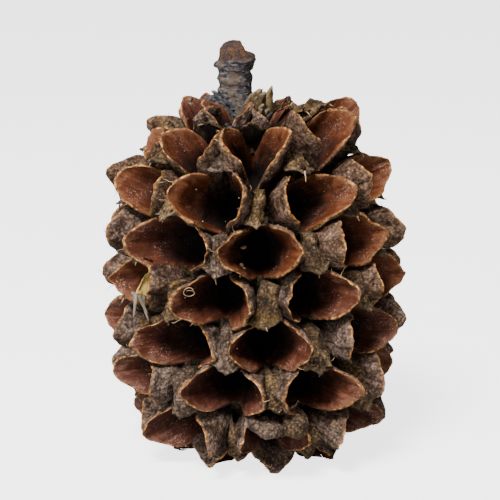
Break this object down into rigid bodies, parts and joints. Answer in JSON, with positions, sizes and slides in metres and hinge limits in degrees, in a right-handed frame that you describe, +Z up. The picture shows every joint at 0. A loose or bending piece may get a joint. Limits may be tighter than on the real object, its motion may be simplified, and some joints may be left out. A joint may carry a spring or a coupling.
{
  "type": "casuarina cone",
  "caption": "Dry woody she-oak cone with whorls of gaping paired valves, felted bracts and a broken stalk, standing on its broad end with a winged seed caught in a mouth.",
  "frame": {"origin": "on the resting surface, under the middle of the box round the cone", "axes": "+Z up from the broad end to the stalk, -Y towards the side that the picture shows"},
  "size_m": [0.0336, 0.0334, 0.0451],
  "materials": {
    "cone": "rough dry bark outside, smooth red-brown inside the valves",
    "winged_seed": "dull papery straw"
  },
  "bodies": {
    "root": {"cone": "cone", "winged_seed": "winged_seed"}
  },
  "joints": []
}
